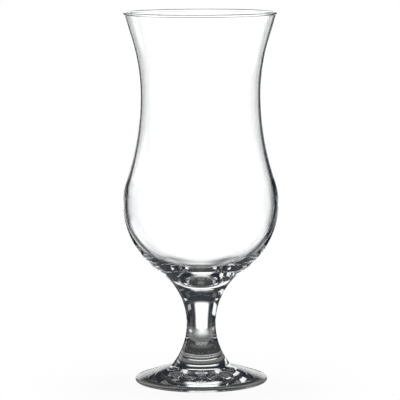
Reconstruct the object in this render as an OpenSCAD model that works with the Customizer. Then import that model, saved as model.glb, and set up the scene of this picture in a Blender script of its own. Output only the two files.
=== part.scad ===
// Hurricane glass: a clear bowl with a flared mouth, a waist and a round belly, on a short
// solid stem and a low conical foot. The three pieces of glass are fused hot, one on the other,
// so they meet face to face here. Millimetres; the origin is the middle of the rest plane, +Z up.

/* [Whole glass] */
// Height of the whole glass
height = 200; // [160:0.5:240]
// Height of the waist, the narrowest place of the bowl, as a share of the whole height
waist_share = 0.778; // [0.7:0.001:0.82]
// Height of the belly, the widest place of the bowl, as a share of the whole height
belly_share = 0.484; // [0.44:0.001:0.54]
// Height of the seam between bowl and stem, as a share of the whole height
seam_share = 0.24; // [0.21:0.001:0.26]
// Height of the narrowest place of the stem, as a share of the whole height
neck_share = 0.1565; // [0.145:0.0005:0.18]

/* [Bowl] */
// Outer diameter of the rim, at its widest
rim_d = 82.8; // [74:0.2:96]
// Outer diameter of the waist
waist_d = 65; // [52:0.5:72]
// Outer diameter of the belly
belly_d = 84.3; // [76:0.1:100]
// Radius of the curve above the waist, as a share of one curve that runs all the way to the rim
flare_share = 0.865; // [0.5:0.005:0.9]
// The waist's part of the double curve between waist and belly
waist_curve_share = 0.79; // [0.5:0.01:0.9]
// The waist's part of the double curve between waist and belly on the inside
inner_curve_share = 0.77; // [0.5:0.01:0.9]
// The belly's part of the double curve between belly and stem
belly_curve_share = 0.56; // [0.45:0.01:0.6]

/* [Glass thickness] */
// Diameter of the round bead that the rim is melted into
bead_d = 1.6; // [1.4:0.1:3]
// Thickness of the wall just below the bead
rim_wall = 1.1; // [0.8:0.1:1.4]
// Thickness of the wall at the waist
waist_wall = 1.1; // [0.8:0.1:4]
// Thickness of the wall at the belly
belly_wall = 2.3; // [1.4:0.1:3.4]
// Thickness of the wall where it slopes most, below the belly
flank_wall = 4.8; // [3.4:0.1:6]
// Thickness of the solid bottom, from the seam with the stem up to the inside
bottom_wall = 6.6; // [3:0.2:9]

/* [Inside of the bottom] */
// Diameter of the round end of the inside
tip_d = 33.6; // [20:0.2:44]
// Radius of the funnel's curve, between the belly's curve and the round end
funnel_r = 94; // [60:1:130]

/* [Stem] */
// Diameter of the stem at its narrowest place
stem_d = 15.8; // [10:0.2:22]

/* [Foot] */
// Diameter of the foot
foot_d = 71.6; // [60:0.2:90]
// Height of the foot where the stem stands on it
foot_h = 8.3; // [6:0.1:12]
// Diameter of the seat under the stem
seat_d = 32.5; // [26:0.5:40]
// Thickness of the foot's rounded outer edge
edge_t = 2; // [1.2:0.1:3]
// Width of the flat ring that the glass stands on
ring_w = 5; // [3:0.5:8]
// Depth of the hollow under the foot, at its middle
hollow_h = 2; // [0.5:0.1:4]

/* [Hidden] */
// Flats in each arc of an outline, and round the axis
arc_steps = 20;
$fn = 96;
// Clear glass
glass_tint = [0.86, 0.92, 0.92, 0.45];

// Heights above the rest plane
waist_z = height * waist_share;
belly_z = height * belly_share;
seam_z = height * seam_share;
neck_z = height * neck_share;
rim_rise = height - waist_z;
belly_rise = belly_z - neck_z;
stem_low_h = neck_z - foot_h;

// Points on an arc about c, from angle a0 to angle a1
function arc(c, r, a0, a1) =
    [for (i = [0:arc_steps]) let (a = a0 + (a1 - a0) * i / arc_steps) c + r * [cos(a), sin(a)]];

// Turn of each of the two arcs that join upright points dr apart across and dz apart in height
function turn(dr, dz) = 2 * atan2(abs(dr), dz);

// Radius of the lower of two arcs from p down to q, where the upper one has the given share
function lower_r(p, q, share) = (1 - share) * (p.y - q.y) / sin(turn(q.x - p.x, p.y - q.y));

// Double curve from p down to q, upright at both ends. It widens or narrows on the way down.
function double_curve(p, q, share) =
    let (
        t = turn(q.x - p.x, p.y - q.y),
        low = lower_r(p, q, share),
        high = low * share / (1 - share)
    )
    q.x > p.x
        ? concat(arc([p.x + high, p.y], high, 180, 180 + t), arc([q.x - low, q.y], low, t, 0))
        : concat(arc([p.x - high, p.y], high, 0, -t), arc([q.x + low, q.y], low, 180 - t, 180));

// The round bead of the lip, and the curve above the waist that a straight flank joins to it
lip_r = bead_d / 2;
lip_c = [rim_d / 2 - lip_r, height - lip_r];
flare_dr = (rim_d - waist_d) / 2;
flare_r = flare_share * (flare_dr * flare_dr + rim_rise * rim_rise) / (2 * flare_dr);
flare_c = [waist_d / 2 + flare_r, waist_z];

// Angle, seen from the flare's centre, where the flank leaves the curve of radius r
function flank_angle(r, side) =
    let (to_lip = lip_c - flare_c)
    atan2(to_lip.y, to_lip.x) + acos((r + side * rim_wall / 2) / norm(to_lip));

// Outer and inner points at the waist, the belly and the neck
waist_out = [waist_d / 2, waist_z];
belly_out = [belly_d / 2, belly_z];
neck_out = [stem_d / 2, neck_z];
waist_in = [waist_d / 2 - waist_wall, waist_z];
belly_in = [belly_d / 2 - belly_wall, belly_z];
flank_out = flank_angle(flare_r, 1);
flank_in = flank_angle(flare_r + waist_wall, -1);
// Angle at the bead's centre between the point where a flank meets the bead and the way square to it
bead_turn = acos(rim_wall / bead_d);

// The neck's arc, which the seam cuts: the bowl has what is above it, the stem what is below
neck_r = lower_r(belly_out, neck_out, belly_curve_share);
neck_c = [neck_out.x + neck_r, neck_z];
neck_turn = turn(belly_out.x - neck_out.x, belly_rise);
seam_turn = asin((seam_z - neck_z) / neck_r);
belly_r = neck_r * belly_curve_share / (1 - belly_curve_share);
belly_c = [belly_out.x - belly_r, belly_z];

// Inside, the belly's arc is shifted inwards until the wall is flank_wall thick at its end
in_span = belly_in.x - belly_c.x;
in_reach = belly_r - flank_wall;
in_shift = (in_span * in_span - in_reach * in_reach) / (2 * (in_span - in_reach * cos(neck_turn)));
in_belly_c = [belly_c.x + in_shift, belly_z];
in_belly_r = belly_in.x - in_belly_c.x;

// The round end's arc meets the axis. The funnel's arc touches it and the belly's arc.
tip_r = tip_d / 2;
tip_c = [0, seam_z + bottom_wall + tip_r];
to_tip = tip_c - in_belly_c;
tip_dir = to_tip / norm(to_tip);
belly_reach = in_belly_r + funnel_r;
tip_reach = tip_r + funnel_r;
along = (belly_reach * belly_reach - tip_reach * tip_reach + to_tip * to_tip) / (2 * norm(to_tip));
across = sqrt(belly_reach * belly_reach - along * along);
funnel_c = in_belly_c + along * tip_dir + across * [-tip_dir.y, tip_dir.x];
in_turn = atan2(belly_z - funnel_c.y, funnel_c.x - in_belly_c.x);
tip_turn = atan2(tip_c.y - funnel_c.y, funnel_c.x);
function inside_bottom() = concat(
    arc(in_belly_c, in_belly_r, 0, -in_turn),
    arc(funnel_c, funnel_r, 180 - in_turn, 180 - tip_turn),
    arc(tip_c, tip_r, -tip_turn, -90)
);

// Outside of the bowl, from the lip down to the seam
function bowl_outside() = concat(
    arc(flare_c, flare_r, flank_out, 180),
    double_curve(waist_out, belly_out, waist_curve_share),
    arc(belly_c, belly_r, 0, -neck_turn),
    arc(neck_c, neck_r, 180 - neck_turn, 180 - seam_turn)
);

// Inside of the bowl, from the lip down to the axis
function bowl_inside() = concat(
    arc(flare_c, flare_r + waist_wall, flank_in, 180),
    double_curve(waist_in, belly_in, inner_curve_share),
    inside_bottom()
);

function reverse(list) = [for (i = [len(list) - 1:-1:0]) list[i]];

module bowl() {
    color(glass_tint)
    rotate_extrude()
    polygon(concat(
        [[0, seam_z]],
        reverse(bowl_outside()),
        arc(lip_c, lip_r, flank_out - 180 - bead_turn, flank_in + bead_turn),
        bowl_inside()
    ));
}

// The stem's lower flare: one arc from the neck down to the seat on the foot
seat_dr = (seat_d - stem_d) / 2;
seat_turn = turn(seat_dr, stem_low_h);
seat_r = stem_low_h / sin(seat_turn);

module stem() {
    color(glass_tint)
    rotate_extrude()
    polygon(concat(
        [[0, seam_z]],
        arc(neck_c, neck_r, 180 - seam_turn, 180),
        arc([neck_out.x + seat_r, neck_z], seat_r, 180, 180 + seat_turn),
        [[0, foot_h]]
    ));
}

// The foot's edge is round, and its top is a cone that touches the edge and ends at the seat
edge_r = edge_t / 2;
edge_c = [foot_d / 2 - edge_r, edge_r];
seat_edge = [seat_d / 2, foot_h];
to_seat = seat_edge - edge_c;
cone_angle = atan2(to_seat.y, to_seat.x) - acos(edge_r / norm(to_seat));

// The hollow under the foot is part of a sphere, inside the ring that the glass stands on
hollow_d = 2 * (edge_c.x - ring_w);
hollow_r = (hollow_d * hollow_d / 4 + hollow_h * hollow_h) / (2 * hollow_h);
hollow_turn = asin(hollow_d / 2 / hollow_r);

module foot() {
    color(glass_tint)
    rotate_extrude()
    polygon(concat(
        [[0, foot_h], seat_edge],
        arc(edge_c, edge_r, cone_angle, -90),
        arc([0, hollow_h - hollow_r], hollow_r, 90 - hollow_turn, 90)
    ));
}

bowl();
stem();
foot();
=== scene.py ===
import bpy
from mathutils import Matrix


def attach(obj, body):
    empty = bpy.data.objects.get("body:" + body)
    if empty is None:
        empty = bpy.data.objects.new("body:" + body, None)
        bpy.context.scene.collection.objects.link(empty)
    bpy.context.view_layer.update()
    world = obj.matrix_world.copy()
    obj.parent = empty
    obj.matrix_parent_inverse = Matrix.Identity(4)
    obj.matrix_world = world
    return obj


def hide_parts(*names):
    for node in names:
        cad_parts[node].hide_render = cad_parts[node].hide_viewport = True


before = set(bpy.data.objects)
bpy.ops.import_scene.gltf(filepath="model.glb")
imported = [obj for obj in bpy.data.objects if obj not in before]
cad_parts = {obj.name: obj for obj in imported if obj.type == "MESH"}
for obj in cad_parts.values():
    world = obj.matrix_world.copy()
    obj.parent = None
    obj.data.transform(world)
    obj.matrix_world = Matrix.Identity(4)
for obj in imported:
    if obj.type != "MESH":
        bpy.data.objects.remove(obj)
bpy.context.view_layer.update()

import math

import bmesh
import bpy
from mathutils import Quaternion, Vector

# The glass is a body of revolution about Z. Sizes are in millimetres here, under the names that the
# CAD source gives them, and become metres when the meshes are made.
height = 200.0
waist_z, belly_z, seam_z, neck_z = 0.778 * height, 0.484 * height, 0.24 * height, 0.1565 * height
rim_d, waist_d, belly_d = 82.8, 65.0, 84.3
flare_share, waist_curve_share, inner_curve_share, belly_curve_share = 0.865, 0.79, 0.77, 0.56
bead_d, rim_wall, waist_wall, belly_wall, flank_wall, bottom_wall = 1.6, 1.1, 1.1, 2.3, 4.8, 6.6
tip_d, funnel_r = 33.6, 94.0
stem_d, foot_d, foot_h, seat_d = 15.8, 71.6, 8.3, 32.5
edge_t, ring_w, hollow_h = 2.0, 5.0, 2.0

ROUND = 192  # flats round the axis
STEP = 0.8  # longest flat of an arc in an outline, mm
LINE_STEP = 4 * STEP  # longest flat of a straight line, mm
LEAST_FLATS = 8  # flats in the shortest arc
SAME_POINT = 0.01  # mm; points of an outline that are closer than this are one
ON_PLACE = 1e-6  # mm; closer than this to the axis or to a seam's plane is on it
SHARP_EDGE = 25  # degrees; a steeper edge isn't shaded smooth
MM_PER_M = 1000


# ---------------------------------------------------------------- outlines, as (radius, height)
def arc(c, r, a0, a1):
    """Points on an arc about c, from angle a0 to angle a1, in degrees."""
    n = max(LEAST_FLATS, math.ceil(abs(math.radians(a1 - a0)) * r / STEP))
    turns = [math.radians(a0 + (a1 - a0) * i / n) for i in range(n + 1)]
    return [(c[0] + r * math.cos(t), c[1] + r * math.sin(t)) for t in turns]


def line(p, q):
    n = max(2, math.ceil(math.dist(p, q) / LINE_STEP))
    return [(p[0] + (q[0] - p[0]) * i / n, p[1] + (q[1] - p[1]) * i / n) for i in range(n + 1)]


def turn(dr, dz):
    """Turn of each of the two arcs that join upright points, dr apart across and dz in height."""
    return 2 * math.degrees(math.atan2(abs(dr), dz))


def lower_r(p, q, share):
    """Radius of the lower of two arcs from p down to q, where the upper one has the given share."""
    return (1 - share) * (p[1] - q[1]) / math.sin(math.radians(turn(q[0] - p[0], p[1] - q[1])))


def double_curve(p, q, share):
    """Double curve from p down to q, upright at both ends."""
    t = turn(q[0] - p[0], p[1] - q[1])
    low = lower_r(p, q, share)
    high = low * share / (1 - share)
    if q[0] > p[0]:
        return arc((p[0] + high, p[1]), high, 180, 180 + t) + arc((q[0] - low, q[1]), low, t, 0)
    return arc((p[0] - high, p[1]), high, 0, -t) + arc((q[0] + low, q[1]), low, 180 - t, 180)


# The round bead of the lip, and the curve above the waist that a straight flank joins to it
lip_r = bead_d / 2
lip_c = (rim_d / 2 - lip_r, height - lip_r)
flare_dr = (rim_d - waist_d) / 2
rim_rise = height - waist_z
flare_r = flare_share * (flare_dr**2 + rim_rise**2) / (2 * flare_dr)
flare_c = (waist_d / 2 + flare_r, waist_z)


def flank_angle(r, side):
    """Angle, seen from the flare's centre, where the flank leaves the curve of radius r."""
    to_lip = (lip_c[0] - flare_c[0], lip_c[1] - flare_c[1])
    lean = math.acos((r + side * rim_wall / 2) / math.hypot(*to_lip))
    return math.degrees(math.atan2(to_lip[1], to_lip[0]) + lean)


flank_out = flank_angle(flare_r, 1)
flank_in = flank_angle(flare_r + waist_wall, -1)
bead_turn = math.degrees(math.acos(rim_wall / bead_d))
waist_out, belly_out = (waist_d / 2, waist_z), (belly_d / 2, belly_z)
waist_in, belly_in = (waist_d / 2 - waist_wall, waist_z), (belly_d / 2 - belly_wall, belly_z)
neck_out = (stem_d / 2, neck_z)

# The neck's arc, which the seam cuts, and the belly's arc above it
neck_r = lower_r(belly_out, neck_out, belly_curve_share)
neck_c = (neck_out[0] + neck_r, neck_z)
neck_turn = turn(belly_out[0] - neck_out[0], belly_z - neck_z)
seam_turn = math.degrees(math.asin((seam_z - neck_z) / neck_r))
belly_r = neck_r * belly_curve_share / (1 - belly_curve_share)
belly_c = (belly_out[0] - belly_r, belly_z)
seam_edge = (neck_c[0] - math.sqrt(neck_r**2 - (seam_z - neck_z) ** 2), seam_z)

# The inside below the belly: the belly's arc, the funnel's arc and the arc of the round tip
span, reach = belly_in[0] - belly_c[0], belly_r - flank_wall
shift = (span**2 - reach**2) / (2 * (span - reach * math.cos(math.radians(neck_turn))))
in_c = (belly_c[0] + shift, belly_z)
in_r = belly_in[0] - in_c[0]
tip_r = tip_d / 2
tip_c = (0.0, seam_z + bottom_wall + tip_r)
gap = math.dist(in_c, tip_c)
dx, dz = (tip_c[0] - in_c[0]) / gap, (tip_c[1] - in_c[1]) / gap
along = ((in_r + funnel_r) ** 2 - (tip_r + funnel_r) ** 2 + gap**2) / (2 * gap)
across = math.sqrt((in_r + funnel_r) ** 2 - along**2)
funnel_c = (in_c[0] + along * dx - across * dz, in_c[1] + along * dz + across * dx)
in_turn = math.degrees(math.atan2(belly_z - funnel_c[1], funnel_c[0] - in_c[0]))
tip_turn = math.degrees(math.atan2(tip_c[1] - funnel_c[1], funnel_c[0]))

# The stem's lower flare, the foot's cone and rounded edge, and the hollow under the foot
seat_turn = turn((seat_d - stem_d) / 2, neck_z - foot_h)
seat_r = (neck_z - foot_h) / math.sin(math.radians(seat_turn))
edge_r = edge_t / 2
edge_c = (foot_d / 2 - edge_r, edge_r)
to_seat = (seat_d / 2 - edge_c[0], foot_h - edge_c[1])
cone_turn = math.atan2(to_seat[1], to_seat[0]) - math.acos(edge_r / math.hypot(*to_seat))
cone_angle = math.degrees(cone_turn)
edge_end = (
    edge_c[0] + edge_r * math.cos(math.radians(cone_angle)),
    edge_c[1] + edge_r * math.sin(math.radians(cone_angle)),
)
seat_edge = (seat_d / 2, foot_h)
hollow_d = 2 * (edge_c[0] - ring_w)
hollow_r = (hollow_d**2 / 4 + hollow_h**2) / (2 * hollow_h)
hollow_turn = math.degrees(math.asin(hollow_d / 2 / hollow_r))

# Each outline runs from the axis to the axis, with the glass on its left, seam faces included
bowl_outline = (
    line((0, seam_z), seam_edge)
    + (
        arc(flare_c, flare_r, flank_out, 180)
        + double_curve(waist_out, belly_out, waist_curve_share)
        + arc(belly_c, belly_r, 0, -neck_turn)
        + arc(neck_c, neck_r, 180 - neck_turn, 180 - seam_turn)
    )[::-1]
    + arc(lip_c, lip_r, flank_out - 180 - bead_turn, flank_in + bead_turn)
    + arc(flare_c, flare_r + waist_wall, flank_in, 180)
    + double_curve(waist_in, belly_in, inner_curve_share)
    + arc(in_c, in_r, 0, -in_turn)
    + arc(funnel_c, funnel_r, 180 - in_turn, 180 - tip_turn)
    + arc(tip_c, tip_r, -tip_turn, -90)
)
stem_outline = (
    line((0, foot_h), seat_edge)
    + arc((neck_out[0] + seat_r, neck_z), seat_r, 180 + seat_turn, 180)
    + arc(neck_c, neck_r, 180, 180 - seam_turn)
    + line(seam_edge, (0, seam_z))
)
foot_outline = (
    arc((0, hollow_h - hollow_r), hollow_r, 90, 90 - hollow_turn)
    + line((hollow_d / 2, 0), (edge_c[0], 0))
    + arc(edge_c, edge_r, -90, cone_angle)
    + line(edge_end, seat_edge)
    + line(seat_edge, (0, foot_h))
)


# ---------------------------------------------------------------- meshes
def lathe(name, outline, seams):
    """A closed mesh turned from the outline. Faces in a seam's plane take the second material."""
    points = [outline[0]]
    for p in outline[1:]:
        if math.dist(p, points[-1]) > SAME_POINT:
            points.append(p)
    points[0], points[-1] = (0.0, points[0][1]), (0.0, points[-1][1])
    angles = [2 * math.pi * k / ROUND for k in range(ROUND)]
    bm = bmesh.new()
    rings = []
    for r, z in points:
        radius, level = r / MM_PER_M, z / MM_PER_M
        if r < ON_PLACE:
            rings.append([bm.verts.new((0, 0, level))])
            continue
        ring = [(radius * math.cos(a), radius * math.sin(a), level) for a in angles]
        rings.append([bm.verts.new(place) for place in ring])
    for i in range(len(rings) - 1):
        low, high = rings[i], rings[i + 1]
        ends = (points[i][1], points[i + 1][1])
        in_seam = any(all(abs(z - seam) < ON_PLACE for z in ends) for seam in seams)
        for k in range(ROUND):
            a, b = low[k % len(low)], low[(k + 1) % len(low)]
            c, d = high[(k + 1) % len(high)], high[k % len(high)]
            corners = [v for v, w in zip((a, b, c, d), (b, c, d, a)) if v is not w]
            if len(corners) < 3:
                continue
            face = bm.faces.new(corners)
            face.smooth = True
            face.material_index = 1 if in_seam else 0
    bmesh.ops.recalc_face_normals(bm, faces=bm.faces)
    for e in bm.edges:
        if len(e.link_faces) == 2 and e.calc_face_angle() > math.radians(SHARP_EDGE):
            e.smooth = False
    mesh = bpy.data.meshes.new(name)
    bm.to_mesh(mesh)
    bm.free()
    piece = bpy.data.objects.new(name, mesh)
    bpy.context.scene.collection.objects.link(piece)
    return piece


bowl = lathe("bowl_glass", bowl_outline, [seam_z])
stem = lathe("stem_glass", stem_outline, [seam_z, foot_h])
foot = lathe("foot_glass", foot_outline, [foot_h])


# ---------------------------------------------------------------- materials
class Graph:
    """Short calls for one node tree."""

    def __init__(self, tree):
        self.tree = tree
        tree.nodes.clear()

    def put(self, socket, value):
        """Link the socket to another node's output, or set its value."""
        if isinstance(value, bpy.types.NodeSocket):
            self.tree.links.new(value, socket)
        else:
            socket.default_value = value

    def node(self, kind, **values):
        """A node with these inputs, by their names, and these properties."""
        n = self.tree.nodes.new(kind)
        for key, value in values.items():
            if key in n.inputs:
                self.put(n.inputs[key], value)
            else:
                setattr(n, key, value)
        return n

    def math(self, op, *args):
        n = self.tree.nodes.new("ShaderNodeMath")
        n.operation = op
        for socket, value in zip(n.inputs, args):
            self.put(socket, value)
        return n.outputs[0]

    def ramp(self, value, start, end, low=0.0, high=1.0):
        """low below start, high above end, with a soft step between."""
        n = self.tree.nodes.new("ShaderNodeMapRange")
        n.interpolation_type = "SMOOTHSTEP"
        self.put(n.inputs["Value"], value)
        for name, v in zip(("From Min", "From Max", "To Min", "To Max"), (start, end, low, high)):
            self.put(n.inputs[name], v)
        return n.outputs[0]

    def mix_shader(self, factor, a, b):
        n = self.tree.nodes.new("ShaderNodeMixShader")
        for socket, value in zip(n.inputs, (factor, a, b)):
            self.put(socket, value)
        return n.outputs[0]

    def mix_colour(self, factor, a, b):
        n = self.node("ShaderNodeMix", data_type="RGBA", clamp_factor=False)
        self.put(n.inputs[0], factor)
        colours = [s for s in n.inputs if s.type == "RGBA"]
        colours[0].default_value, colours[1].default_value = a, b
        return [s for s in n.outputs if s.type == "RGBA"][0]


def new_material(name):
    mat = bpy.data.materials.new(name)
    mat.use_nodes = True
    return mat, Graph(mat.node_tree)


def glass_material():
    mat, g = new_material("clear_glass")
    place = g.node("ShaderNodeTexCoord").outputs["Object"]
    # Pressed glass is never quite even: it has long shallow waves
    waves = g.node("ShaderNodeTexNoise", Vector=place, Scale=30.0, Detail=1.0, Roughness=0.4)
    bump = g.node("ShaderNodeBump", Height=waves.outputs["Fac"], Strength=0.035, Distance=0.0008)
    glass = g.node("ShaderNodeBsdfPrincipled", Roughness=0.0, IOR=1.52, Normal=bump.outputs[0])
    glass.inputs["Base Color"].default_value = (0.985, 0.992, 0.995, 1)
    glass.inputs["Transmission Weight"].default_value = 1.0
    out = g.node("ShaderNodeOutputMaterial")
    g.put(out.inputs["Surface"], glass.outputs[0])
    return mat


def fused_material():
    """The two pieces are one glass at a seam, so light goes straight through it."""
    mat, g = new_material("fused_seam")
    clear = g.node("ShaderNodeBsdfTransparent")
    out = g.node("ShaderNodeOutputMaterial")
    g.put(out.inputs["Surface"], clear.outputs[0])
    return mat


clear_glass, fused_seam = glass_material(), fused_material()
for piece, node in ((bowl, "bowl"), (stem, "stem"), (foot, "foot")):
    piece.data.materials.append(clear_glass)
    piece.data.materials.append(fused_seam)
    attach(piece, "root")
    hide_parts(node)


# ---------------------------------------------------------------- studio
WHITE = (1, 1, 1, 1)
# What the glass sees round it: white panels in a dark room. Azimuth 0 is +Y, behind the glass in the
# main view, and 90 is +X. Each panel is (azimuth of its middle, half its width at full and at no
# brightness, lowest and highest elevation, softness below and above), in degrees, and its brightness.
PANELS = (
    (-2, 12, 20, -22, 13, 14, 8, 1.35),
    (0, 17, 24, 49, 56, 4, 4, 0.9),
    (-47, 11, 16, -40, -19, 6, 5, 1.0),
    (-50, 12, 17, 4, 21, 4, 5, 1.2),
    (34, 5, 8, 10, 16, 3, 3, 0.5),
    (86, 9, 13, -48, -30, 5, 5, 0.9),
    (47, 10, 15, -40, -25, 6, 5, 1.0),
    (-95, 12, 16, -22, 3, 8, 3, 1.1),
    (95, 12, 16, -22, 3, 8, 3, 1.1),
    (135, 13, 18, -26, 2, 8, 4, 1.1),
    (180, 13, 18, -26, 2, 8, 4, 1.1),
    (-135, 13, 18, -26, 2, 8, 4, 1.1),
)
ROOM = (0.018, 0.023, 0.030, 1)
# A faint glow of the ceiling: its brightness, and the elevations where it begins and where it ends
GLOW, GLOW_LOW, GLOW_HIGH = 0.06, (38.0, 44.0), (54.0, 62.0)

# What the glass sees of the floor is painted light and shade, as brightness by the distance from the
# axis,
# in metres: painted shade under the foot and a grey ring of painted light round it
PAINTED_SHADE_UNDER_FOOT, PAINTED_LIGHT_ROUND_FOOT, FOOT_EDGE = 0.05, 0.18, (0.0312, 0.0337)
# Painted light in the middle, under the foot: its brightness, and the distances where it fades out
PAINTED_LIGHT_MIDDLE, MIDDLE_EDGE = 0.12, (0.004, 0.01)
# In front of the glass painted light makes it paler, from the foot's edge on and more so further out
FRONT_Y = (-0.03, -0.01)
PAINTED_LIGHT_FRONT_NEAR, FRONT_NEAR_EDGE = 0.3, (0.0315, 0.034)
PAINTED_LIGHT_FRONT_FAR, FRONT_FAR_EDGE = 0.4, (0.06, 0.11)
# Behind the glass a painted streak of light runs towards the white panel, beside the plane x =
# -STREAK_X
PAINTED_STREAK, STREAK_Y, STREAK_X, STREAK_WIDTH = 0.8, (0.048, 0.082), 0.004, (0.004, 0.03)
# Patches of painted light behind the glass: (x, y, radius) in metres, and brightness
PAINTED_LIGHT_PATCHES = ((0.043, 0.066, 0.013, 0.6), (-0.059, 0.062, 0.016, 0.35))
PATCH_CORE = 0.7  # share of a patch's radius that has its full brightness
CLEAR_FROM = (0.09, 0.13)  # further out, the glass sees the panels and the room through the floor
# For the camera the floor is white, with a part of its shaded colour close to the glass
SHADOW_REACH, SHADOW_WHITE = (0.04, 0.12), 0.94
FLOOR_GREY = (0.85, 0.85, 0.85, 1)
FLOOR_HALF = 6  # metres


def studio_world():
    """White for the camera. The glass sees white panels, a dark room and a faint ceiling."""
    world = bpy.data.worlds.new("studio")
    bpy.context.scene.world = world
    world.use_nodes = True
    g = Graph(world.node_tree)
    direction = g.node("ShaderNodeTexCoord").outputs["Generated"]
    way = g.node("ShaderNodeSeparateXYZ", Vector=direction).outputs
    azimuth = g.math("DEGREES", g.math("ARCTAN2", way["X"], way["Y"]))
    rise = g.math("DEGREES", g.math("ARCSINE", way["Z"]))
    glow = g.ramp(rise, *GLOW_LOW, 0.0, GLOW)
    level = g.math("MULTIPLY", glow, g.ramp(rise, *GLOW_HIGH, 1.0, 0.0))
    for middle, full, none, low, high, soft_low, soft_high, bright in PANELS:
        turned = g.math("WRAP", g.math("SUBTRACT", azimuth, middle), 180.0, -180.0)
        off = g.math("ABSOLUTE", turned)
        across = g.ramp(off, full, none, 1.0, 0.0)
        bottom = g.ramp(rise, low - soft_low, low)
        up = g.math("MULTIPLY", bottom, g.ramp(rise, high, high + soft_high, 1.0, 0.0))
        panel = g.math("MULTIPLY", g.math("MULTIPLY", across, up), bright)
        level = g.math("ADD", level, panel)
    seen = g.node("ShaderNodeBackground", Color=WHITE, Strength=1.0)
    room = g.node("ShaderNodeBackground", Color=g.mix_colour(level, ROOM, WHITE), Strength=1.0)
    rays = g.node("ShaderNodeLightPath").outputs
    surface = g.mix_shader(rays["Is Camera Ray"], room.outputs[0], seen.outputs[0])
    out = g.node("ShaderNodeOutputWorld")
    g.put(out.inputs["Surface"], surface)


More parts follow.
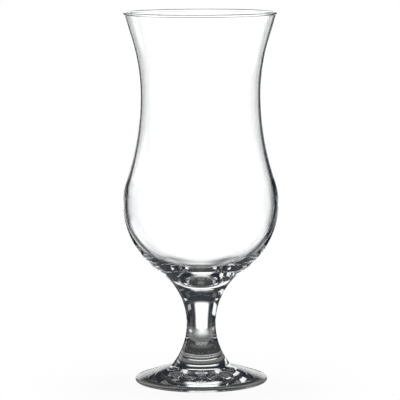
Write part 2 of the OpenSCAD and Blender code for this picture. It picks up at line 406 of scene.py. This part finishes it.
def studio_floor():
    """White for the camera, with the glass's own soft shadow. The glass sees painted shade under the
    foot, painted light in grey and paler round it, and the panels and the room through it further
    away."""
    mesh = bpy.data.meshes.new("floor")
    signs = ((-1, -1), (1, -1), (1, 1), (-1, 1))
    corners = [(x * FLOOR_HALF, y * FLOOR_HALF, 0) for x, y in signs]
    mesh.from_pydata(corners, [], [(0, 1, 2, 3)])
    floor = bpy.data.objects.new("floor", mesh)
    bpy.context.scene.collection.objects.link(floor)
    mat, g = new_material("pale_floor_and_painted_light")
    plain = g.node("ShaderNodeBsdfDiffuse", Color=FLOOR_GREY)
    white = g.node("ShaderNodeEmission", Color=WHITE, Strength=1.0)
    clear = g.node("ShaderNodeBsdfTransparent")
    rays = g.node("ShaderNodeLightPath").outputs
    in_glass = g.math("MAXIMUM", rays["Is Transmission Ray"], rays["Is Glossy Ray"])
    place = g.node("ShaderNodeTexCoord").outputs["Object"]
    away = g.node("ShaderNodeVectorMath", operation="LENGTH", Vector=place).outputs["Value"]
    spot = g.node("ShaderNodeSeparateXYZ", Vector=place).outputs
    # A painted streak of light behind the glass, seen only by the glass
    aside = g.math("ABSOLUTE", g.math("ADD", spot["X"], STREAK_X))
    streak_side = g.ramp(aside, *STREAK_WIDTH, PAINTED_STREAK, 0.0)
    streak = g.math("MULTIPLY", g.ramp(spot["Y"], *STREAK_Y), streak_side)
    # Painted light that makes the floor paler in front of the glass
    front_near = g.ramp(away, *FRONT_NEAR_EDGE, 0.0, PAINTED_LIGHT_FRONT_NEAR)
    front_far = g.ramp(away, *FRONT_FAR_EDGE, 0.0, PAINTED_LIGHT_FRONT_FAR)
    front_side = g.ramp(spot["Y"], *FRONT_Y, 1.0, 0.0)
    front = g.math("MULTIPLY", front_side, g.math("ADD", front_near, front_far))
    # Painted light in the middle, under the foot
    middle = g.ramp(away, *MIDDLE_EDGE, PAINTED_LIGHT_MIDDLE, 0.0)
    # Painted shade under the foot, and a grey ring of painted light round it
    ring = g.ramp(away, *FOOT_EDGE, PAINTED_SHADE_UNDER_FOOT, PAINTED_LIGHT_ROUND_FOOT)
    painted_light_and_shade = g.math("ADD", g.math("ADD", ring, streak), g.math("ADD", front, middle))
    # Patches of painted light behind the glass
    for x, y, radius, bright in PAINTED_LIGHT_PATCHES:
        near = g.node("ShaderNodeVectorMath", operation="DISTANCE", Vector=place)
        near.inputs[1].default_value = (x, y, 0)
        patch = g.ramp(near.outputs["Value"], PATCH_CORE * radius, radius, bright, 0.0)
        painted_light_and_shade = g.math("ADD", painted_light_and_shade, patch)
    # Near the axis the floor glows for the glass with this painted light and shade
    painted_glow = g.node("ShaderNodeEmission", Color=WHITE, Strength=painted_light_and_shade)
    through = g.mix_shader(g.ramp(away, *CLEAR_FROM), painted_glow.outputs[0], clear.outputs[0])
    hidden = g.mix_shader(in_glass, plain.outputs[0], through)
    unshaded = g.ramp(away, *SHADOW_REACH, SHADOW_WHITE, 1.0)
    seen = g.mix_shader(unshaded, plain.outputs[0], white.outputs[0])
    out = g.node("ShaderNodeOutputMaterial")
    g.put(out.inputs["Surface"], g.mix_shader(rays["Is Camera Ray"], hidden, seen))
    floor.data.materials.append(mat)


LAMP_AIM = (0, 0, 0.1)
LAMP_SIZE, LAMP_POWER = 0.3, 8.0  # metres and watts


def softbox(name, place):
    """A soft lamp overhead. It lights the floor, where it gives the glass a faint shadow."""
    lamp = bpy.data.lights.new(name, "AREA")
    lamp.shape, lamp.energy = "RECTANGLE", LAMP_POWER
    lamp.size = lamp.size_y = LAMP_SIZE
    light = bpy.data.objects.new(name, lamp)
    bpy.context.scene.collection.objects.link(light)
    light.location = place
    # The glass sees the white panels, not the lamps as well
    light.visible_glossy = light.visible_transmission = False
    light.rotation_mode = "QUATERNION"
    light.rotation_quaternion = (Vector(LAMP_AIM) - Vector(place)).to_track_quat("-Z", "Y")


studio_world()
studio_floor()
softbox("left_light", (-0.28, 0.4, 1.25))
softbox("right_light", (0.35, 0.35, 1.25))


# ---------------------------------------------------------------- camera
IMAGE_WIDTH = 400  # pixels
PIXELS_PER_M = 1853.0  # scale of the photograph at the glass
SENSOR_WIDTH = 36.0  # mm
PHOTO_LEAN = -0.2  # degrees


def studio_camera():
    place, aim = Vector((0, -1.25, 0.25)), Vector((-0.00038, 0, 0.0986))
    cam = bpy.data.cameras.new("camera")
    cam.sensor_width = SENSOR_WIDTH
    cam.lens = SENSOR_WIDTH * PIXELS_PER_M * (aim - place).length / IMAGE_WIDTH
    cam.clip_start, cam.clip_end = 0.01, 50
    camera = bpy.data.objects.new("camera", cam)
    bpy.context.scene.collection.objects.link(camera)
    camera.location = place
    camera.rotation_mode = "QUATERNION"
    # The photograph leans by a fifth of a degree
    lean = Quaternion((0, 0, 1), math.radians(PHOTO_LEAN))
    camera.rotation_quaternion = (aim - place).to_track_quat("-Z", "Y") @ lean
    bpy.context.scene.camera = camera


studio_camera()
scene = bpy.context.scene
scene.view_settings.view_transform = "Standard"
# Light crosses many faces inside the solid bottom and stem
scene.cycles.max_bounces = 40
scene.cycles.transmission_bounces = 40
scene.cycles.glossy_bounces = 24
scene.cycles.transparent_max_bounces = 40
